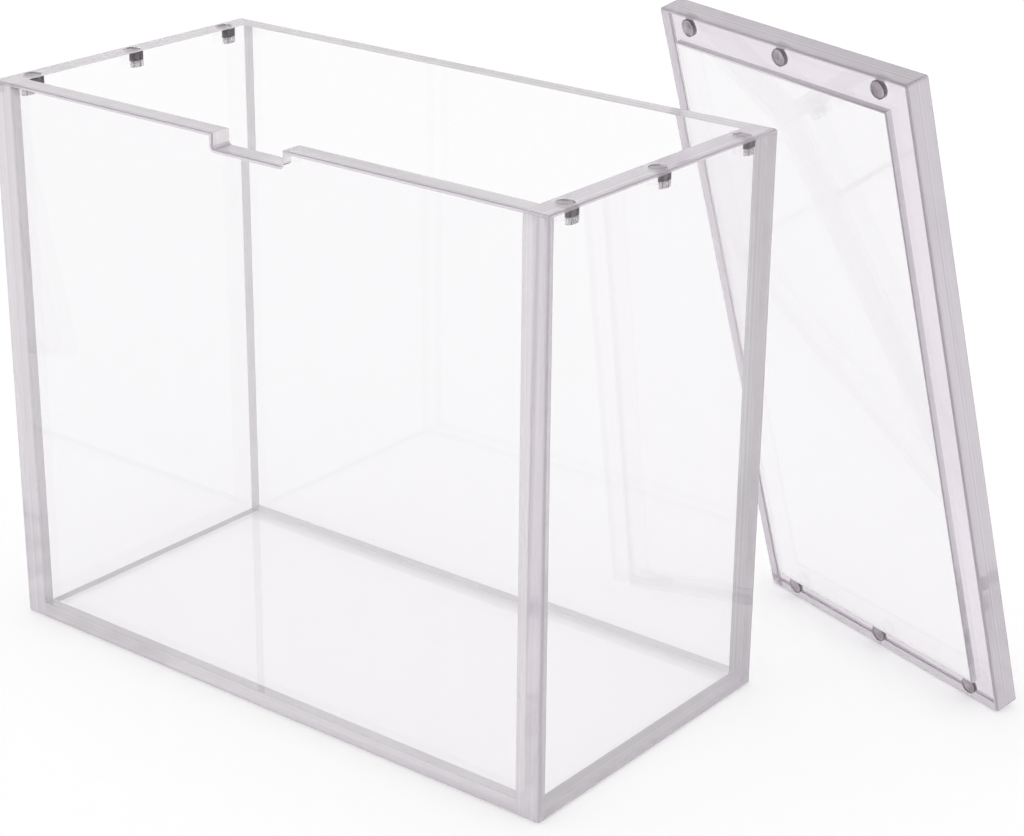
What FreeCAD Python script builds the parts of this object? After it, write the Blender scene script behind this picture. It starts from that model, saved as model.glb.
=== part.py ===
import FreeCAD, Part
import math
import os
import Sketcher

# Clear acrylic case with a lift-off lid that magnets hold. The lid is off: it stands on one short end behind
# the case and leans on its back right corner. The origin is the centre of the case's underside.
# X runs along the case, Y to its back and Z up.

# Driving dimensions in millimetres and degrees
SIZES = [
    ("outer_length", 204.0, "case and lid, along X"),
    ("outer_depth", 104.0, "case and lid, along Y"),
    ("body_height", 172.0, "case without its lid"),
    ("side_wall", 8.0, "thickness of the two short walls, which hold the magnets"),
    ("long_wall", 7.0, "thickness of the front and back walls"),
    ("base_thick", 5.0, "thickness of the base plate"),
    ("lid_thick", 8.0, "thickness of the lid plate"),
    ("inner_thick", 2.0, "thickness of the locating plate under the lid"),
    ("inner_clearance", 0.4, "gap between the locating plate and each wall of the closed case"),
    ("notch_width", 26.0, "thumb notch in the front wall"),
    ("notch_depth", 4.5, "thumb notch, down from the top edge"),
    ("notch_radius", 1.0, "inner corners of the thumb notch, left by the cutter"),
    ("edge_round", 0.8, "polished outer edges of the walls, base and lid plate"),
    ("inner_round", 0.5, "polished lower edge of the locating plate"),
    ("magnet_diameter", 5.0, "disc magnets"),
    ("magnet_height", 3.0, "disc magnets"),
    ("magnet_chamfer", 0.25, "plated edges of the magnets"),
    ("magnet_margin", 12.0, "from the front or back face to the nearest magnet's axis"),
    ("magnet_clearance", 0.1, "round each magnet in its hole"),
    ("magnet_sink", 0.2, "magnet face below the face that it is let into"),
    ("wall_hole_spare", 1.8, "empty depth under each magnet in the side walls"),
    ("lid_hole_spare", 0.2, "glue behind each magnet in the lid plate"),
    ("lid_foot_distance", 50.0, "from the case's back right corner back to the lid's foot, square to the lid"),
    ("lid_side_offset", 50.0, "from the lid's left edge along its foot to that corner"),
    ("lid_turn", 18.0, "turn of the leaning lid about Z, its right edge towards the front"),
    ("lean_clearance", 0.3, "between the leaning locating plate and the case's corner"),
]
MAGNET_PLACES = ("front", "middle", "back")

# Coordinates closer than this are the same, and a cut takes away more than this volume
SAME_PLACE = 1e-4
LEAST_CUT = 1e-3

doc = FreeCAD.newDocument("acrylic_case")
sheet = doc.addObject("Spreadsheet::Sheet", "Sizes")
for row, (alias, value, meaning) in enumerate(SIZES, start=1):
    sheet.set(f"A{row}", meaning)
    sheet.set(f"B{row}", str(value))
    sheet.setAlias(f"B{row}", alias)
doc.recompute()

# Sizes that several pieces share, as expressions on the sheet
BETWEEN_SIDES = "(Sizes.outer_length - 2 * Sizes.side_wall)"
BETWEEN_LONG_WALLS = "(Sizes.outer_depth - 2 * Sizes.long_wall)"
WALL_RISE = "(Sizes.body_height - Sizes.base_thick)"
MAGNET_X = "(Sizes.outer_length - Sizes.side_wall) / 2"
MAGNET_ROW = "(Sizes.outer_depth - 2 * Sizes.magnet_margin)"
MAGNET_DEPTH = "(Sizes.magnet_sink + Sizes.magnet_height)"
HOLE_BORE = "Sizes.magnet_diameter + 2 * Sizes.magnet_clearance"


def size(alias):
    return float(sheet.get(alias))


# Helpers for sketches and features

def new_body(group, label):
    body = doc.addObject("PartDesign::Body", label)
    group.addObject(body)
    return body


def new_sketch(body, name, role):
    sketch = body.newObject("Sketcher::SketchObject", name)
    plane = next(feature for feature in body.Origin.OriginFeatures if feature.Role == role)
    sketch.AttachmentSupport = [(plane, "")]
    sketch.MapMode = "FlatFace"
    return sketch


def bind(sketch, constraint, name, expression):
    number = sketch.addConstraint(constraint)
    sketch.renameConstraint(number, name)
    sketch.setExpression(f"Constraints.{name}", expression)


def draw_rectangle(sketch, width, height, middle="0"):
    """A rectangle of two bound sizes, centred a bound distance up the sketch's V axis."""
    corners = [FreeCAD.Vector(x, y, 0) for x, y in ((-1, -1), (1, -1), (1, 1), (-1, 1))]
    for i, corner in enumerate(corners):
        sketch.addGeometry(Part.LineSegment(corner, corners[(i + 1) % 4]), False)
    for i in range(4):
        sketch.addConstraint(Sketcher.Constraint("Coincident", i, 2, (i + 1) % 4, 1))
    for i, direction in enumerate(("Horizontal", "Vertical", "Horizontal", "Vertical")):
        sketch.addConstraint(Sketcher.Constraint(direction, i))
    bind(sketch, Sketcher.Constraint("DistanceX", 0, 1, 0, 2, 2.0), "width", width)
    bind(sketch, Sketcher.Constraint("DistanceY", 1, 1, 1, 2, 2.0), "height", height)
    bind(sketch, Sketcher.Constraint("DistanceX", -1, 1, 0, 1, -1.0), "left", f"-({width}) / 2")
    bind(sketch, Sketcher.Constraint("DistanceY", -1, 1, 0, 1, -1.0), "lower", f"{middle} - ({height}) / 2")


def draw_circle(sketch, number, across, along, diameter):
    """A circle of bound diameter, centred at two bound distances from the sketch's origin."""
    circle = sketch.addGeometry(Part.Circle(FreeCAD.Vector(1, 1, 0), FreeCAD.Vector(0, 0, 1), 1), False)
    bind(sketch, Sketcher.Constraint("DistanceX", -1, 1, circle, 3, 1.0), f"across{number}", across)
    bind(sketch, Sketcher.Constraint("DistanceY", -1, 1, circle, 3, 1.0), f"along{number}", along)
    bind(sketch, Sketcher.Constraint("Diameter", circle, 2.0), f"bore{number}", diameter)


def pad(body, sketch, length):
    feature = body.newObject("PartDesign::Pad", f"{body.Name}_pad")
    feature.Profile = sketch
    feature.setExpression("Length", length)
    doc.recompute()
    return feature


def cut(body, sketch, name, length=None, flipped=False):
    """A pocket of bound depth, or through everything, which has to take material away."""
    before = body.Shape.Volume
    feature = body.newObject("PartDesign::Pocket", f"{body.Name}_{name}")
    feature.Profile = sketch
    feature.Reversed = flipped
    if length is None:
        feature.Type = "ThroughAll"
    else:
        feature.setExpression("Length", length)
    doc.recompute()
    if before - body.Shape.Volume < LEAST_CUT:
        raise RuntimeError(f"{body.Label}: {name} cuts nothing")
    return feature


def edge_names(shape, wanted=lambda point: True):
    """Names of the edges whose two ends both pass the test."""
    numbered = enumerate(shape.Edges, start=1)
    return [f"Edge{n}" for n, edge in numbered if all(wanted(vertex.Point) for vertex in edge.Vertexes)]


def dress(body, kind, base, edges, expression, name):
    """A fillet or chamfer on named edges of the last feature, with its size bound to the sheet."""
    feature = body.newObject(f"PartDesign::{kind}", f"{body.Name}_{name}")
    feature.Base = (base, edges)
    feature.setExpression("Radius" if kind == "Fillet" else "Size", expression)
    doc.recompute()
    return feature


def near(value, target):
    return abs(value - target) < SAME_PLACE


def place(body, **expressions):
    for axis, expression in expressions.items():
        body.setExpression(f"Placement.Base.{axis}", expression)


# Base plate, between the side walls and under the front and back walls

def make_base(group):
    body = new_body(group, "base_plate")
    outline = new_sketch(body, "base_outline", "XY_Plane")
    draw_rectangle(outline, BETWEEN_SIDES, "Sizes.outer_depth")
    slab = pad(body, outline, "Sizes.base_thick")
    lower_edges = []
    for y in (-size("outer_depth") / 2, size("outer_depth") / 2):
        lower_edges += edge_names(slab.Shape, lambda p: near(p.z, 0) and near(p.y, y))
    dress(body, "Fillet", slab, lower_edges, "Sizes.edge_round", "edges")


# Front and back walls, which stand on the base between the side walls. The front one has the thumb notch

def make_long_wall(group, label, is_front):
    body = new_body(group, label)
    outline = new_sketch(body, f"{label}_outline", "XZ_Plane")
    draw_rectangle(outline, BETWEEN_SIDES, WALL_RISE)
    last = pad(body, outline, "Sizes.long_wall")
    notch_floor = (size("body_height") - size("base_thick")) / 2 - size("notch_depth")
    if is_front:
        notch = new_sketch(body, "notch_outline", "XZ_Plane")
        draw_rectangle(notch, "Sizes.notch_width", "2 * Sizes.notch_depth", f"{WALL_RISE} / 2")
        last = cut(body, notch, "notch", flipped=True)
        corners = []
        for x in (-size("notch_width") / 2, size("notch_width") / 2):
            corners += edge_names(last.Shape, lambda p: near(p.z, notch_floor) and near(p.x, x))
        last = dress(body, "Fillet", last, corners, "Sizes.notch_radius", "notch_corners")
    # The wall is padded towards -Y, so the front wall's outer face is the far one
    outer_y = -size("long_wall") if is_front else 0.0
    rim = edge_names(last.Shape, lambda p: near(p.y, outer_y) and p.z > notch_floor - SAME_PLACE)
    dress(body, "Fillet", last, rim, "Sizes.edge_round", "top_edge")
    y = "Sizes.long_wall - Sizes.outer_depth / 2" if is_front else "Sizes.outer_depth / 2"
    place(body, y=y, z=f"Sizes.base_thick + {WALL_RISE} / 2")


# Blind holes for the magnets: one drawn hole for each row, repeated from the front to the back

def drill_magnet_holes(body, hole_sketch, depth, flipped):
    hole = cut(body, hole_sketch, "hole", depth, flipped)
    row = body.newObject("PartDesign::LinearPattern", f"{body.Name}_hole_row")
    row.Originals = [hole]
    row.Direction = (hole_sketch, ["V_Axis"])
    row.setExpression("Length", MAGNET_ROW)
    row.Occurrences = len(MAGNET_PLACES)
    body.Tip = row


# Side walls, over the full depth and height, drilled from above

def make_side_wall(group, label, is_right):
    body = new_body(group, label)
    outline = new_sketch(body, f"{label}_outline", "YZ_Plane")
    draw_rectangle(outline, "Sizes.outer_depth", "Sizes.body_height")
    slab = pad(body, outline, "Sizes.side_wall")
    inner_x = 0.0 if is_right else size("side_wall")
    inner_edges = edge_names(slab.Shape, lambda p: near(p.x, inner_x))
    outer_edges = [name for name in edge_names(slab.Shape) if name not in inner_edges]
    dress(body, "Fillet", slab, outer_edges, "Sizes.edge_round", "edges")
    holes = new_sketch(body, f"{label}_holes", "XY_Plane")
    holes.setExpression("AttachmentOffset.Base.z", "Sizes.body_height / 2")
    draw_circle(holes, 1, "Sizes.side_wall / 2", f"-{MAGNET_ROW} / 2", HOLE_BORE)
    drill_magnet_holes(body, holes, f"{MAGNET_DEPTH} + Sizes.wall_hole_spare", flipped=False)
    x = "Sizes.outer_length / 2 - Sizes.side_wall" if is_right else "-Sizes.outer_length / 2"
    place(body, x=x, z="Sizes.body_height / 2")


# Lid plate and the locating plate bonded under it, drawn flat with the lid plate's underside at z = 0

def make_lid_plate(group):
    body = new_body(group, "lid_plate")
    outline = new_sketch(body, "lid_outline", "XY_Plane")
    draw_rectangle(outline, "Sizes.outer_length", "Sizes.outer_depth")
    slab = pad(body, outline, "Sizes.lid_thick")
    dress(body, "Fillet", slab, edge_names(slab.Shape), "Sizes.edge_round", "edges")
    holes = new_sketch(body, "lid_holes", "XY_Plane")
    for number, sign in enumerate(("-", ""), start=1):
        draw_circle(holes, number, sign + MAGNET_X, f"-{MAGNET_ROW} / 2", HOLE_BORE)
    drill_magnet_holes(body, holes, f"{MAGNET_DEPTH} + Sizes.lid_hole_spare", flipped=True)


def make_locating_plate(group):
    body = new_body(group, "lid_inner_plate")
    outline = new_sketch(body, "inner_outline", "XY_Plane")
    outline.setExpression("AttachmentOffset.Base.z", "-Sizes.inner_thick")
    length = f"{BETWEEN_SIDES} - 2 * Sizes.inner_clearance"
    depth = f"{BETWEEN_LONG_WALLS} - 2 * Sizes.inner_clearance"
    draw_rectangle(outline, length, depth)
    slab = pad(body, outline, "Sizes.inner_thick")
    lower_edges = edge_names(slab.Shape, lambda p: near(p.z, -size("inner_thick")))
    dress(body, "Fillet", slab, lower_edges, "Sizes.inner_round", "lower_edge")


# Disc magnets, in a row at each end

def make_magnet(group, label):
    body = new_body(group, label)
    face = new_sketch(body, f"{label}_face", "XY_Plane")
    draw_circle(face, 1, "0", "0", "Sizes.magnet_diameter")
    disc = pad(body, face, "Sizes.magnet_height")
    numbered = enumerate(disc.Shape.Edges, start=1)
    rims = [f"Edge{n}" for n, edge in numbered if isinstance(edge.Curve, Part.Circle)]
    dress(body, "Chamfer", disc, rims, "Sizes.magnet_chamfer", "rims")
    return body


def make_magnets(group, label, lower_face):
    """Magnets over the middle of both side walls, with their lower faces at a bound height."""
    gaps = len(MAGNET_PLACES) - 1
    for end, sign in (("left", "-"), ("right", "")):
        for number, spot in enumerate(MAGNET_PLACES):
            magnet = make_magnet(group, label.format(end=end, spot=spot))
            y = f"{MAGNET_ROW} * ({number / gaps} - 0.5)"
            place(magnet, x=sign + MAGNET_X, y=y, z=lower_face)


def lean_against_case(proud, end):
    """Lean at which a face of the lid, so far proud of the lid plate and ending so far up, meets the case.

    It meets the case's upper corner or, where it ends below that, the upright edge under the corner."""
    foot = size("lid_foot_distance")
    height = size("body_height")
    stand_off = proud + size("lean_clearance")
    corner_up_lid = math.sqrt(foot**2 + height**2 - stand_off**2)
    if end > corner_up_lid:
        return math.atan2(corner_up_lid, stand_off) - math.atan2(height, foot)
    return math.asin((foot - size("lean_clearance")) / math.hypot(end, proud)) - math.atan2(proud, end)


def leaning_placement():
    """Stands the flat lid on its left end, with its underside towards the case's back right corner."""
    turn = math.radians(size("lid_turn"))
    along = FreeCAD.Vector(math.cos(turn), -math.sin(turn), 0)
    towards_case = FreeCAD.Vector(-math.sin(turn), -math.cos(turn), 0)
    locating_plate_end = size("outer_length") - size("side_wall") - size("inner_clearance")
    lean = min(
        lean_against_case(0.0, size("outer_length")),
        lean_against_case(size("inner_thick"), locating_plate_end),
    )
    up = FreeCAD.Vector(0, 0, 1) * math.cos(lean) + towards_case * math.sin(lean)
    outward = up.cross(along)
    corner = FreeCAD.Vector(size("outer_length") / 2, size("outer_depth") / 2, 0)
    left_foot = corner - towards_case * size("lid_foot_distance") - along * size("lid_side_offset")
    centre = left_foot + along * (size("outer_depth") / 2) + up * (size("outer_length") / 2)
    # The rounded lower edge touches the floor, not the sharp corner that it takes away
    centre.z -= size("edge_round") * (math.cos(lean) + math.sin(lean) - 1)
    print(f"lid leans {math.degrees(lean):.2f} degrees")
    return FreeCAD.Placement(centre, FreeCAD.Rotation(up, along, outward, "XYZ"))


case = doc.addObject("App::Part", "case")
make_base(case)
make_long_wall(case, "front_wall", is_front=True)
make_long_wall(case, "back_wall", is_front=False)
make_side_wall(case, "left_wall", is_right=False)
make_side_wall(case, "right_wall", is_right=True)
make_magnets(case, "{end}_wall_magnet_{spot}", f"Sizes.body_height - {MAGNET_DEPTH}")

lid = doc.addObject("App::Part", "lid")
make_lid_plate(lid)
make_locating_plate(lid)
make_magnets(lid, "lid_{end}_magnet_{spot}", "Sizes.magnet_sink")
lid.Placement = leaning_placement()
doc.recompute()

# Every object and solid is checked before anything is written
failed = [item.Label for item in doc.Objects if "Invalid" in item.State or "Error" in item.State]
if failed:
    raise RuntimeError(f"failed objects: {failed}")
solids = {}
for group in (case, lid):
    for body in group.Group:
        shape = body.Shape.copy()
        shape.Placement = group.Placement.multiply(shape.Placement)
        if shape.isNull() or not shape.isValid() or len(shape.Solids) != 1:
            raise RuntimeError(f"{body.Label} is not one valid solid")
        solids[body.Label] = shape

os.makedirs("parts", exist_ok=True)
for label, shape in solids.items():
    shape.exportStep(f"parts/{label}.step")
    box = shape.BoundBox
    print(f"{label}: {shape.Volume:.1f} mm3, z {box.ZMin:.2f} to {box.ZMax:.2f}")
print(f"{len(solids)} parts")
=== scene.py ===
# %% [markdown]
# # A clear acrylic case with a magnetic lid
# The case is glued up from five sheets of clear acrylic, and its lid is one thick sheet with a thinner
# locating plate under it. Small disc magnets in the rims hold the lid. Here the lid is off, and leans on
# the case's back corner.
#
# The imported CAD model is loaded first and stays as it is. The script adds a camera, a white tent of light,
# the acrylic with its cut edges and the magnets, all in metres and in the CAD model's own frame.

# %% Load the frame
import math

import bmesh
import bpy
from mathutils import Matrix, Vector


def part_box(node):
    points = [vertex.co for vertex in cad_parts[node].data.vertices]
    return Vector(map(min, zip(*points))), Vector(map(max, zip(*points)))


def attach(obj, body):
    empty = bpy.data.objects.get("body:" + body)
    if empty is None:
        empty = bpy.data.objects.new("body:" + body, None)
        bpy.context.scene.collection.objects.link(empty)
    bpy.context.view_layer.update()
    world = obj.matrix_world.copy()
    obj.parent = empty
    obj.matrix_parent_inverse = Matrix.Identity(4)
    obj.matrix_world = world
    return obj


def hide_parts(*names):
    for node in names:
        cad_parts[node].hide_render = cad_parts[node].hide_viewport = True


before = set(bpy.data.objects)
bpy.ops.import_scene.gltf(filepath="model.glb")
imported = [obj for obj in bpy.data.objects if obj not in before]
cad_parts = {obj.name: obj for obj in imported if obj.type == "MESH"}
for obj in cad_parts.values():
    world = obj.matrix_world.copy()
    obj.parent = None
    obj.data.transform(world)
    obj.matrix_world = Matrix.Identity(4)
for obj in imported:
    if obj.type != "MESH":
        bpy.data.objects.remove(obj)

MILLIMETRE = 0.001
WHITE = (1.0, 1.0, 1.0, 1.0)
scene = bpy.context.scene
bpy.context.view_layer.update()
print("CAD nodes:", len(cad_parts))

# %% [markdown]
# ## Camera
# The photograph looks down on the case's front right corner. The camera could be turned by hand until it
# looked right, but its place was worked out instead: the corners of the case and of the lid have known
# places in the frame, and one camera brings them all closest to where the photograph shows them. What is
# left to write down is the way it looks, its slight roll, its place and its lens.

# %% Place the camera
azimuth = math.radians(37.95)
elevation = math.radians(22.24)
roll = math.radians(0.62)
camera_place = Vector((0.4510, -0.5132, 0.3552))
lens_length = 87.1
sensor_width = 36.0

forward = Vector((
    -math.sin(azimuth) * math.cos(elevation),
    math.cos(azimuth) * math.cos(elevation),
    -math.sin(elevation),
))
level = Vector((math.cos(azimuth), math.sin(azimuth), 0.0))
upright = level.cross(forward)
right = level * math.cos(roll) + upright * math.sin(roll)
up = upright * math.cos(roll) - level * math.sin(roll)

camera_data = bpy.data.cameras.new("camera")
camera_data.lens = lens_length
camera_data.sensor_width = sensor_width
camera = bpy.data.objects.new("camera", camera_data)
scene.collection.objects.link(camera)
turn = Matrix((right, up, -forward)).transposed().to_4x4()
camera.matrix_world = Matrix.Translation(camera_place) @ turn
scene.camera = camera
print("camera looks along", [round(c, 3) for c in forward])

# %% [markdown]
# ## Node helpers
# Materials, the world and the magnets are built from nodes. A few small helpers add a node, set its plain
# values and link its inputs, so that each finish below reads as a short list of steps.

# %% Node helpers
def fill(tree, socket, value):
    """Links an output socket to an input socket, or writes a plain value on it."""
    if isinstance(value, bpy.types.NodeSocket):
        tree.links.new(value, socket)
    else:
        socket.default_value = value


def add_node(tree, kind, settings=None, **inputs):
    """Adds a node. Settings are its properties. An input is a value, or an output socket to link."""
    node = tree.nodes.new(kind)
    for name, value in (settings or {}).items():
        setattr(node, name, value)
    for name, value in inputs.items():
        fill(tree, node.inputs[name.replace("_", " ")], value)
    return node


def join_math(tree, operation, first, second):
    """A math node on two values or sockets."""
    node = add_node(tree, "ShaderNodeMath", {"operation": operation})
    fill(tree, node.inputs[0], first)
    fill(tree, node.inputs[1], second)
    return node.outputs[0]


def mesh_value(tree, name):
    """A number that is written on the mesh, by its attribute's name."""
    return add_node(tree, "ShaderNodeAttribute", {"attribute_name": name}).outputs["Fac"]


def new_material(name):
    """A material with an empty node tree and its output node."""
    material = bpy.data.materials.new(name)
    material.use_nodes = True
    tree = material.node_tree
    tree.nodes.clear()
    return material, tree, add_node(tree, "ShaderNodeOutputMaterial")


print("helpers:", [helper.__name__ for helper in (fill, add_node, join_math, mesh_value, new_material)])

# %% [markdown]
# ## White tent
# Clear plastic has no look of its own: it shows what is around it. Product photographers put it in a tent
# of white cloth, so that its faces vanish and only the edges draw lines. A world of even white does the
# same as the tent and gives soft light from all round. Its roof is greyer where it is seen by reflection,
# as a tent's roof is with the lamps outside its walls, so that polished faces and metal keep some tone.
# A ray that goes through the acrylic counts as a reflection too, so those are told apart.

# %% Light the tent
roof_grey = 0.45
roof_starts = 0.25
roof_full = 0.9

world = bpy.data.worlds.new("white_tent")
scene.world = world
world.use_nodes = True
tent = world.node_tree
tent.nodes.clear()
direction = add_node(tent, "ShaderNodeTexCoord").outputs["Generated"]
height = add_node(tent, "ShaderNodeSeparateXYZ", Vector=direction).outputs["Z"]
roof = add_node(
    tent, "ShaderNodeMapRange", {"interpolation_type": "SMOOTHSTEP"},
    Value=height, From_Min=roof_starts, From_Max=roof_full, To_Min=1.0, To_Max=roof_grey,
).outputs["Result"]
rays = add_node(tent, "ShaderNodeLightPath").outputs
mirrored = join_math(tent, "GREATER_THAN", rays["Is Glossy Ray"], rays["Is Transmission Ray"])
seen = add_node(tent, "ShaderNodeMix", {"data_type": "FLOAT"}, Factor=mirrored, A=1.0, B=roof)
background = add_node(tent, "ShaderNodeBackground", Color=WHITE, Strength=seen.outputs["Result"])
add_node(tent, "ShaderNodeOutputWorld", Surface=background.outputs["Background"])
print("tent roof is", roof_grey, "of the walls' white")

# %% [markdown]
# ## Paths of light
# Light that goes along a sheet is mirrored from face to face dozens of times before it comes out. A render
# that gives up sooner leaves black patches in the edges, so it is allowed as many turns as that takes.

# %% Let light go far
light_turns = 40

scene.view_settings.view_transform = "Standard"
scene.cycles.max_bounces = light_turns
scene.cycles.transmission_bounces = light_turns
scene.cycles.glossy_bounces = light_turns
scene.cycles.blur_glossy = 0.0
print("light may turn", light_turns, "times")

# %% [markdown]
# ## Floor
# The tent's floor is the same white cloth. It takes the soft shadow that the sheets leave under them. Some
# light of its own, seen but not cast, makes up for what the cloth swallows. The floor lies a hair below
# the case, because two faces in one place flicker in a render.

# %% White cloth
floor_white = 0.72
floor_glow = 0.30
speck_scale = 900.0
speck_depth = 0.01

floor_material, cloth, cloth_output = new_material("white_cloth")
cloth_place = add_node(cloth, "ShaderNodeTexCoord").outputs["Object"]
speck = add_node(cloth, "ShaderNodeTexNoise", Vector=cloth_place, Scale=speck_scale, Detail=2.0)
speck_colour = add_node(
    cloth, "ShaderNodeMapRange", Value=speck.outputs["Fac"],
    To_Min=floor_white - speck_depth, To_Max=floor_white + speck_depth,
)
matt = add_node(cloth, "ShaderNodeBsdfDiffuse", Color=speck_colour.outputs["Result"])
cloth_rays = add_node(cloth, "ShaderNodeLightPath").outputs
looked_at = cloth_rays["Is Camera Ray"]
for ray in ("Is Transmission Ray", "Is Glossy Ray"):
    looked_at = join_math(cloth, "MAXIMUM", looked_at, cloth_rays[ray])
glow = add_node(cloth, "ShaderNodeEmission", Strength=join_math(cloth, "MULTIPLY", looked_at, floor_glow))
both = add_node(cloth, "ShaderNodeAddShader")
fill(cloth, both.inputs[0], glow.outputs[0])
fill(cloth, both.inputs[1], matt.outputs[0])
fill(cloth, cloth_output.inputs["Surface"], both.outputs[0])
print("floor cloth:", len(cloth.nodes), "nodes")

# %% Lay the floor
floor_gap = 0.2 * MILLIMETRE
floor_half_width = 20.0

floor_corners = [
    (x * floor_half_width, y * floor_half_width, -floor_gap)
    for x, y in ((-1, -1), (1, -1), (1, 1), (-1, 1))
]
floor_mesh = bpy.data.meshes.new("floor")
floor_mesh.from_pydata(floor_corners, [], [(0, 1, 2, 3)])
floor_mesh.materials.append(floor_material)
floor = bpy.data.objects.new("floor", floor_mesh)
scene.collection.objects.link(floor)
print("floor lies", floor_gap / MILLIMETRE, "mm under the case")

# %% [markdown]
# ## Clear acrylic
# Acrylic bends light a little less than glass, and takes a faint lilac tint over a long way through it.
# Face on, a sheet looks clear. Its edges are sawn, scraped and only half polished: part of the light goes
# in and on along the sheet, and part scatters at the surface, which gives the edges their soft lilac grey.
# Solvent leaves a haze in the glued joints too. The edges could be painted a full grey, but then the case
# would look like a frame of bars. So here they stay partly clear, the solid inside absorbs, and their colour
# is only darkened a little, as painted shade for the light that is lost along the sheet.
#
# All faces of a sheet need one and the same material, because a render counts the way through the solid
# from the face where light goes in to a face of that material where it comes out. What differs is written
# on the faces as attributes instead: cut edges and scraped arrises scatter and get painted shade, glued
# faces scatter, drilled holes are matt, and the lid's rim outside the locating plate gets painted shade
# over what is seen through it.

# %% Kinds of face
# Roughness clean and smeared, painted shade and frost. Each other kind of face adds to those of a broad
# face.
BROAD_FACE = (0.0, 0.012, 0.045, 0.0)
FACE_KINDS = {
    "cut_edge": (0.03, 0.08, 0.18, 0.42),
    "arris": (0.04, 0.10, 0.42, 0.45),
    "glued": (0.08, 0.16, 0.0, 0.36),
    "drilled": (0.25, 0.43, 0.0, 0.0),
    # The lid's rim outside the locating plate: a little rougher, and darkened by painted shade
    "lid_rim": (0.02, 0.08, 0.45, 0.0),
}

acrylic, solid, solid_output = new_material("clear_acrylic")
totals = list(BROAD_FACE)
for kind, adds in FACE_KINDS.items():
    kind_share = mesh_value(solid, kind)
    for column, amount in enumerate(adds):
        if amount:
            added = join_math(solid, "MULTIPLY", kind_share, amount)
            totals[column] = join_math(solid, "ADD", totals[column], added)
clean, smeared, painted_shade_share, frosted = totals
print("acrylic has", 1 + len(FACE_KINDS), "kinds of face")

# %% [markdown]
# ## Smears and cutter lines
# Handling leaves faint smears, which a cloudy noise puts into the gloss. A cutter runs along an edge and
# leaves lines that follow it. A picture of lines would need a map on every edge. Instead each point of a
# sheet knows how far through the thickness it lies, and a noise on that one number draws the lines, in the
# frost and as a slight relief.

# %% Acrylic finish
acrylic_index = 1.49
tint_colour = (0.60, 0.554, 0.61, 1.0)
tint_density = 1.2
# Painted shade: the lilac grey that each face is darkened towards, by its share of painted shade
painted_shade_colour = (0.36, 0.225, 0.37, 1.0)
smear_scale = 90.0
lines_per_millimetre = 0.9
line_height = 0.004 * MILLIMETRE
line_contrast = 0.12

# A Mix node has sockets for each type of data, and these are the ones for colours
MIX_FIRST, MIX_SECOND, MIX_RESULT = 6, 7, 2

sheet_place = add_node(solid, "ShaderNodeTexCoord").outputs["Object"]
smear = add_node(
    solid, "ShaderNodeTexNoise", Vector=sheet_place, Scale=smear_scale, Detail=5.0, Roughness=0.65,
)
gloss = add_node(
    solid, "ShaderNodeMapRange", Value=smear.outputs["Fac"],
    From_Min=0.35, From_Max=0.75, To_Min=clean, To_Max=smeared,
)
lines = add_node(
    solid, "ShaderNodeTexNoise", {"noise_dimensions": "1D"},
    W=mesh_value(solid, "through_sheet"), Scale=lines_per_millimetre, Detail=2.0,
)
relief = add_node(solid, "ShaderNodeBump", Strength=1.0, Distance=line_height, Height=lines.outputs["Fac"])
streak = add_node(
    solid, "ShaderNodeMapRange", Value=lines.outputs["Fac"], From_Min=0.3, From_Max=0.7,
    To_Min=1.0 - line_contrast, To_Max=1.0 + line_contrast,
)
streaked_frost = join_math(solid, "MULTIPLY", frosted, streak.outputs["Result"])
clear_share = join_math(solid, "SUBTRACT", 1.0, streaked_frost)
# The base colour is darkened towards the painted shade colour, as painted shade on edges, arrises and the
# lid's rim
painted_shade_mix = add_node(solid, "ShaderNodeMix", {"data_type": "RGBA"}, Factor=painted_shade_share)
painted_shade_mix.inputs[MIX_FIRST].default_value = WHITE
painted_shade_mix.inputs[MIX_SECOND].default_value = painted_shade_colour
surface = add_node(
    solid, "ShaderNodeBsdfPrincipled", IOR=acrylic_index, Transmission_Weight=clear_share,
    Base_Color=painted_shade_mix.outputs[MIX_RESULT], Roughness=gloss.outputs["Result"],
    Normal=relief.outputs["Normal"],
)
inside = add_node(solid, "ShaderNodeVolumeAbsorption", Color=tint_colour, Density=tint_density)
fill(solid, solid_output.inputs["Surface"], surface.outputs[0])
fill(solid, solid_output.inputs["Volume"], inside.outputs[0])
print("acrylic finish:", len(solid.nodes), "nodes")

# %% [markdown]
# ## Magnet places
# The magnets are let into the rims: three in the top of each side wall and three in each short end of the
# lid. Their middles come from the CAD nodes. A leaning disc fills its box evenly, so the box's middle is
# the disc's middle. The lid's own directions follow from its magnets.

# %% Read the magnet places
SPOTS = ("front", "middle", "back")
WALL_MAGNETS = [f"{end}_wall_magnet_{spot}" for end in ("left", "right") for spot in SPOTS]
LID_MAGNETS = [f"lid_{end}_magnet_{spot}" for end in ("left", "right") for spot in SPOTS]


def middle_of(node):
    low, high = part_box(node)
    return (low + high) / 2


def way_between(start, end):
    return (magnet_middles[end] - magnet_middles[start]).normalized()


magnet_middles = {name: middle_of(name) for name in WALL_MAGNETS + LID_MAGNETS}
lid_length = way_between("lid_left_magnet_middle", "lid_right_magnet_middle")
lid_depth = way_between("lid_left_magnet_front", "lid_left_magnet_back")
lid_outward = lid_length.cross(lid_depth)
low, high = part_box("left_wall_magnet_front")
magnet_diameter = high.x - low.x
magnet_height = high.z - low.z
print("magnets", round(magnet_diameter / MILLIMETRE, 2), "by", round(magnet_height / MILLIMETRE, 2), "mm")

# %% [markdown]
# ## Sheets
# Each sheet is a copy of its CAD node, so sizes, rounded edges and holes are exact. Glued faces need care.
# If two sheets only touched, a render would see a film of air between them, and the joint would shine like
# a mirror. Solvent leaves no air, so the glued faces are pushed a few hundredths of a millimetre into their
# neighbour.

# %% Sheet table
X, Y, Z = Vector((1, 0, 0)), Vector((0, 1, 0)), Vector((0, 0, 1))

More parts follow.
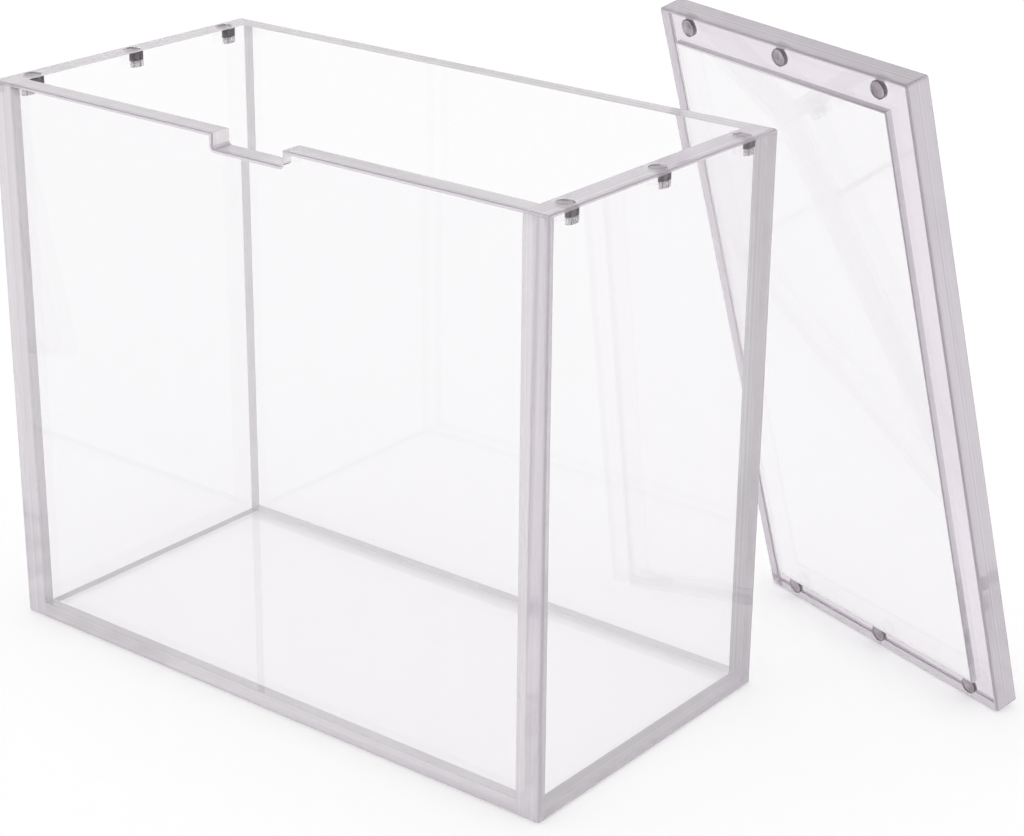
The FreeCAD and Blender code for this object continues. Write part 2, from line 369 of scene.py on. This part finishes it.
# Each sheet: its body, the way through its thickness, and the ways to its glued faces
SHEETS = {
    "base_plate": ("case", Z, [X, -X]),
    "front_wall": ("case", Y, [X, -X, -Z]),
    "back_wall": ("case", Y, [X, -X, -Z]),
    "left_wall": ("case", X, []),
    "right_wall": ("case", X, []),
    "lid_plate": ("lid", lid_outward, []),
    "lid_inner_plate": ("lid", lid_outward, [lid_outward]),
}
DRILLED = ("left_wall", "right_wall", "lid_plate")

# Each body: the three ways that its flat faces look, its magnets, and the way in which it is drilled
SQUARE_WAYS = {"case": (X, Y, Z), "lid": (lid_length, lid_depth, lid_outward)}
MAGNETS_OF = {"case": WALL_MAGNETS, "lid": LID_MAGNETS}
DRILL_WAY = {"case": Z, "lid": lid_outward}
print("sheets:", len(SHEETS), "of which drilled:", len(DRILLED))

# %% Copy a sheet
bond_overlap = 0.03 * MILLIMETRE
merge_distance = 0.001 * MILLIMETRE


def copy_of(node):
    """A CAD node as one closed shape. The node's own mesh is loose triangles."""
    shape = bmesh.new()
    shape.from_mesh(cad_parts[node].data)
    bmesh.ops.remove_doubles(shape, verts=shape.verts, dist=merge_distance)
    return shape


def push_glued_faces(shape, ways):
    """Pushes the outermost face in each glued way into the neighbour."""
    for way in ways:
        reach = max(vertex.co.dot(way) for vertex in shape.verts)
        for vertex in shape.verts:
            if reach - vertex.co.dot(way) < merge_distance:
                vertex.co += way * bond_overlap


print("glued faces overlap by", bond_overlap / MILLIMETRE, "mm")

# %% [markdown]
# ## Rim of the lid
# On the lid's underside, the rim outside the locating plate looks greyer, from shade and what shows
# through it, and that grey is painted on here as painted shade. The CAD model has one large face on that
# side. It is cut along the locating plate's four edges, so that the rim outside them can have a finish of
# its own.

# %% Find the rim
plate_points = [vertex.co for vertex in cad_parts["lid_inner_plate"].data.vertices]
plate_edges = [
    (max(plate_points, key=way.dot), way)
    for way in (lid_length, -lid_length, lid_depth, -lid_depth)
]


def cut_along_locating_plate(shape):
    """Cuts the lid's faces in the planes of the locating plate's edges."""
    for point, way in plate_edges:
        everything = shape.verts[:] + shape.edges[:] + shape.faces[:]
        bmesh.ops.bisect_plane(shape, geom=everything, plane_co=point, plane_no=way, dist=merge_distance)


def on_the_rim(face):
    middle = face.calc_center_median()
    outside = any((middle - point).dot(way) > 0 for point, way in plate_edges)
    return face.normal.dot(lid_outward) < 0 and outside


print("locating plate has", len(plate_edges), "edges")

# %% [markdown]
# ## Finish of each face
# A maker knows a sheet's faces by how they were made. The script goes by where they look: across the
# sheet lie the broad faces, along it the cut edges, and aslant the rounded arrises. Faces close to a
# magnet's axis belong to its drilled hole.

# %% Mark the faces
hole_radius = magnet_diameter / 2 + 0.2 * MILLIMETRE
hole_reach = 5.2 * MILLIMETRE
flat_share = 0.999


def in_a_hole(point, body):
    for name in MAGNETS_OF[body]:
        offset = point - magnet_middles[name]
        along = offset.dot(DRILL_WAY[body])
        if abs(along) < hole_reach and (offset - along * DRILL_WAY[body]).length < hole_radius:
            return True
    return False


def kind_of(face, node):
    """A face's kind, or None for a broad face."""
    body, through, glued = SHEETS[node]
    if node in DRILLED and in_a_hole(face.calc_center_median(), body):
        return "drilled"
    if body == "case" and any(face.normal.dot(way) > flat_share for way in glued):
        return "glued"
    if all(abs(face.normal.dot(way)) < flat_share for way in SQUARE_WAYS[body]):
        return "arris"
    if abs(face.normal.dot(through)) < flat_share:
        return "cut_edge"
    if node == "lid_plate" and on_the_rim(face):
        # The rim's faces get painted shade
        return "lid_rim"
    return None


def mark_faces(shape, node):
    layers = {kind: shape.faces.layers.float.new(kind) for kind in FACE_KINDS}
    for face in shape.faces:
        face.smooth = True
        kind = kind_of(face, node)
        if kind:
            face[layers[kind]] = 1.0


print("faces within", round(hole_radius / MILLIMETRE, 2), "mm of a magnet's axis are drilled")

# %% [markdown]
# ## Flat normals
# Rounded edges are shaded smoothly, and that smoothness can creep into the flat faces beside them. On clear
# plastic even a slight bend shows as a ripple. Weighted normals keep the large faces nearly flat, and each
# face that is square to the sheet then gets its own exact normal.

# %% Straighten the flat faces
area_weight = 100
exact_share = 0.99999


def straighten_flat_faces(sheet, ways):
    weigh = sheet.modifiers.new("flat_faces", "WEIGHTED_NORMAL")
    weigh.weight = area_weight
    weigh.keep_sharp = True
    shown = sheet.evaluated_get(bpy.context.evaluated_depsgraph_get())
    mesh = bpy.data.meshes.new_from_object(shown)
    sheet.modifiers.clear()
    sheet.data = mesh
    normals = [corner.vector.copy() for corner in mesh.corner_normals]
    drilled = mesh.attributes["drilled"].data
    for polygon in mesh.polygons:
        square = any(abs(polygon.normal.dot(way)) > exact_share for way in ways)
        if square and not drilled[polygon.index].value:
            for corner in polygon.loop_indices:
                normals[corner] = polygon.normal.copy()
    mesh.normals_split_custom_set(normals)


print("faces square to", exact_share, "get exact normals")

# %% Build the sheets
smooth_angle = math.radians(35)


def build_sheet(node):
    body, through, glued = SHEETS[node]
    shape = copy_of(node)
    push_glued_faces(shape, glued)
    if node == "lid_plate":
        cut_along_locating_plate(shape)
    shape.normal_update()
    mark_faces(shape, node)
    mesh = bpy.data.meshes.new(f"{node}_sheet")
    shape.to_mesh(mesh)
    shape.free()
    mesh.materials.append(acrylic)
    mesh.set_sharp_from_angle(angle=smooth_angle)
    across = mesh.attributes.new("through_sheet", "FLOAT", "POINT")
    across.data.foreach_set("value", [vertex.co.dot(through) / MILLIMETRE for vertex in mesh.vertices])
    sheet = bpy.data.objects.new(f"{node}_sheet", mesh)
    scene.collection.objects.link(sheet)
    straighten_flat_faces(sheet, SQUARE_WAYS[body])
    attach(sheet, body)
    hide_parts(node)
    return sheet


for node in SHEETS:
    sheet = build_sheet(node)
    print(sheet.name, len(sheet.data.polygons), "faces")

# %% [markdown]
# ## Nickel plate
# The magnets are pressed discs with a nickel plate. Tumbling leaves a fine grain in the plate. The nickel is
# painted darker than bare nickel, as painted shade for the darker surroundings that it mirrors, and the
# sides are painted darker still, as painted shade for the hole they sit in. A cloudy noise in the piece's
# own coordinates varies the colour's tone, a finer one gives the grain to the roughness and a slight bump,
# and an attribute tells side from face.

# %% Nickel finish
# The cloudy tone runs between these two colours. Both are painted darker than bare nickel, as painted shade
# for what the plate mirrors
darkened_nickel_low = (0.34, 0.29, 0.33, 1.0)
darkened_nickel_high = (0.55, 0.50, 0.54, 1.0)
side_shade = 0.3
cloud_scale = 420.0
grain_scale = 2600.0
grain_height = 0.01 * MILLIMETRE

nickel, plate, plate_output = new_material("nickel_plate")
plate_place = add_node(plate, "ShaderNodeTexCoord").outputs["Object"]
grain = add_node(plate, "ShaderNodeTexNoise", Vector=plate_place, Scale=grain_scale, Detail=3.0)
cloud = add_node(plate, "ShaderNodeTexNoise", Vector=plate_place, Scale=cloud_scale, Detail=2.0)
tone = add_node(plate, "ShaderNodeValToRGB", Fac=cloud.outputs["Fac"])
tone.color_ramp.elements[0].position = 0.3
tone.color_ramp.elements[0].color = darkened_nickel_low
tone.color_ramp.elements[1].position = 0.7
tone.color_ramp.elements[1].color = darkened_nickel_high
# Painted shade: the discs' sides, down in the hole, are darkened to side_shade of the tone
shade = add_node(plate, "ShaderNodeMapRange", Value=mesh_value(plate, "side"), To_Min=1.0, To_Max=side_shade)
shaded = add_node(plate, "ShaderNodeVectorMath", {"operation": "SCALE"}, Scale=shade.outputs["Result"])
fill(plate, shaded.inputs[0], tone.outputs["Color"])
plate_gloss = add_node(plate, "ShaderNodeMapRange", Value=grain.outputs["Fac"], To_Min=0.2, To_Max=0.4)
plate_bump = add_node(
    plate, "ShaderNodeBump", Strength=0.3, Distance=grain_height, Height=grain.outputs["Fac"],
)
plate_surface = add_node(
    plate, "ShaderNodeBsdfPrincipled", Metallic=1.0, Base_Color=shaded.outputs[0],
    Roughness=plate_gloss.outputs["Result"], Normal=plate_bump.outputs["Normal"],
)
fill(plate, plate_output.inputs["Surface"], plate_surface.outputs[0])
print("nickel finish:", len(plate.nodes), "nodes")

# %% [markdown]
# ## Disc magnets
# Twelve equal discs in two bodies are work for Geometry Nodes. The tree stacks short cones and a cylinder
# into one disc with rounded rims, sets a copy on each point it is given, tips the copies to the drilled
# axis and turns each by a random amount. One run makes the walls' magnets and one the lid's. Glue fills the
# narrow gap round a magnet, so the discs are drawn out to the wall of the hole.

# %% Disc with rounded rims
RIM_STEPS = 3
DISC_SIDES = 48
weld_distance = 0.001 * MILLIMETRE


def rim_rings(tree, diameter, height, rim):
    """Radius and height of each ring of the disc's outline, from the lower face to the upper."""
    radius = join_math(tree, "MULTIPLY", diameter, 0.5)
    half_height = join_math(tree, "MULTIPLY", height, 0.5)
    upper = []
    for step in range(RIM_STEPS + 1):
        angle = math.pi / 2 * step / RIM_STEPS
        inset = join_math(tree, "MULTIPLY", rim, 1 - math.sin(angle))
        drop = join_math(tree, "MULTIPLY", rim, 1 - math.cos(angle))
        ring_radius = join_math(tree, "SUBTRACT", radius, inset)
        upper.append((ring_radius, join_math(tree, "SUBTRACT", half_height, drop)))
    lower = [(ring_radius, join_math(tree, "MULTIPLY", z, -1)) for ring_radius, z in upper]
    return lower + upper[::-1]


def stack(tree, shape, z, joined):
    """Lifts a shape to its height and joins it to the rest."""
    lift = add_node(tree, "ShaderNodeCombineXYZ", Z=z)
    placed = add_node(
        tree, "GeometryNodeTransform", Geometry=shape.outputs["Mesh"], Translation=lift.outputs[0],
    )
    fill(tree, joined.inputs[0], placed.outputs[0])


def rounded_disc(tree, rings):
    """Bands between the rings, marked as the disc's side, and a cap at each end."""
    bands = add_node(tree, "GeometryNodeJoinGeometry")
    for (lower, z_low), (upper, z_high) in zip(rings, rings[1:]):
        band = add_node(
            tree, "GeometryNodeMeshCone", {"fill_type": "NONE"}, Vertices=DISC_SIDES,
            Radius_Bottom=lower, Radius_Top=upper, Depth=join_math(tree, "SUBTRACT", z_high, z_low),
        )
        stack(tree, band, z_low, bands)
    side = add_node(
        tree, "GeometryNodeStoreNamedAttribute", {"data_type": "FLOAT", "domain": "FACE"},
        Geometry=bands.outputs[0], Name="side", Value=1.0,
    )
    disc = add_node(tree, "GeometryNodeJoinGeometry")
    fill(tree, disc.inputs[0], side.outputs[0])
    for ring_radius, z in (rings[0], rings[-1]):
        cap = add_node(
            tree, "GeometryNodeMeshCircle", {"fill_type": "NGON"}, Vertices=DISC_SIDES, Radius=ring_radius,
        )
        stack(tree, cap, z, disc)
    welded = add_node(
        tree, "GeometryNodeMergeByDistance", Geometry=disc.outputs[0], Distance=weld_distance,
    )
    return welded.outputs[0]


print("a disc has", 2 * (RIM_STEPS + 1), "rings of", DISC_SIDES, "points")

# %% Magnet tree
TREE_INPUTS = {
    "Diameter": "NodeSocketFloat",
    "Height": "NodeSocketFloat",
    "Rim": "NodeSocketFloat",
    "Axis": "NodeSocketVector",
    "Seed": "NodeSocketInt",
    "Finish": "NodeSocketMaterial",
}

# A Random Value node has an output for each type of data, and this is the one for numbers
RANDOM_NUMBER = 1


def magnet_tree():
    tree = bpy.data.node_groups.new("disc_magnets", "GeometryNodeTree")
    tree.interface.new_socket("Geometry", in_out="INPUT", socket_type="NodeSocketGeometry")
    for name, kind in TREE_INPUTS.items():
        tree.interface.new_socket(name, in_out="INPUT", socket_type=kind)
    tree.interface.new_socket("Geometry", in_out="OUTPUT", socket_type="NodeSocketGeometry")
    given = add_node(tree, "NodeGroupInput").outputs
    disc = rounded_disc(tree, rim_rings(tree, given["Diameter"], given["Height"], given["Rim"]))
    tip = add_node(tree, "FunctionNodeAlignRotationToVector", {"axis": "Z"}, Vector=given["Axis"])
    spin = add_node(tree, "FunctionNodeRandomValue", {"data_type": "FLOAT"}, Seed=given["Seed"])
    spin_angle = join_math(tree, "MULTIPLY", spin.outputs[RANDOM_NUMBER], 2 * math.pi)
    spin_turn = add_node(tree, "FunctionNodeAxisAngleToRotation", Angle=spin_angle)
    tipped = add_node(
        tree, "FunctionNodeRotateRotation", {"rotation_space": "LOCAL"},
        Rotation=tip.outputs[0], Rotate_By=spin_turn.outputs[0],
    )
    copies = add_node(
        tree, "GeometryNodeInstanceOnPoints", Points=given["Geometry"], Instance=disc,
        Rotation=tipped.outputs[0],
    )
    real = add_node(tree, "GeometryNodeRealizeInstances", Geometry=copies.outputs[0])
    finished = add_node(
        tree, "GeometryNodeSetMaterial", Geometry=real.outputs[0], Material=given["Finish"],
    )
    result = add_node(tree, "NodeGroupOutput")
    fill(tree, result.inputs[0], finished.outputs[0])
    return tree


disc_magnets = magnet_tree()
print("magnet tree:", len(disc_magnets.nodes), "nodes")

# %% Set the magnets
rim_round = 0.25 * MILLIMETRE
glued_diameter = magnet_diameter + 0.24 * MILLIMETRE


def run_magnet_tree(name, nodes, axis, seed):
    """The tree's result on the magnets' middles, as a plain mesh."""
    points = bpy.data.meshes.new(f"{name}_points")
    points.from_pydata([magnet_middles[node] for node in nodes], [], [])
    maker = bpy.data.objects.new(f"{name}_maker", points)
    scene.collection.objects.link(maker)
    modifier = maker.modifiers.new("magnets", "NODES")
    modifier.node_group = disc_magnets
    values = {
        "Diameter": glued_diameter, "Height": magnet_height, "Rim": rim_round,
        "Axis": axis, "Seed": seed, "Finish": nickel,
    }
    for item in disc_magnets.interface.items_tree:
        if item.in_out == "INPUT" and item.name in values:
            modifier[item.identifier] = values[item.name]
    shown = maker.evaluated_get(bpy.context.evaluated_depsgraph_get())
    mesh = bpy.data.meshes.new_from_object(shown)
    mesh.name = name
    bpy.data.objects.remove(maker)
    return mesh


def set_magnets(name, nodes, body, axis, seed):
    mesh = run_magnet_tree(name, nodes, axis, seed)
    shape = bmesh.new()
    shape.from_mesh(mesh)
    bmesh.ops.recalc_face_normals(shape, faces=shape.faces)
    for face in shape.faces:
        face.smooth = True
    shape.to_mesh(mesh)
    shape.free()
    mesh.set_sharp_from_angle(angle=smooth_angle)
    piece = bpy.data.objects.new(name, mesh)
    scene.collection.objects.link(piece)
    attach(piece, body)
    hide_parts(*nodes)
    print(name, len(mesh.polygons), "faces")


set_magnets("wall_magnets", WALL_MAGNETS, "case", Z, seed=3)
set_magnets("lid_magnets", LID_MAGNETS, "lid", lid_outward, seed=8)
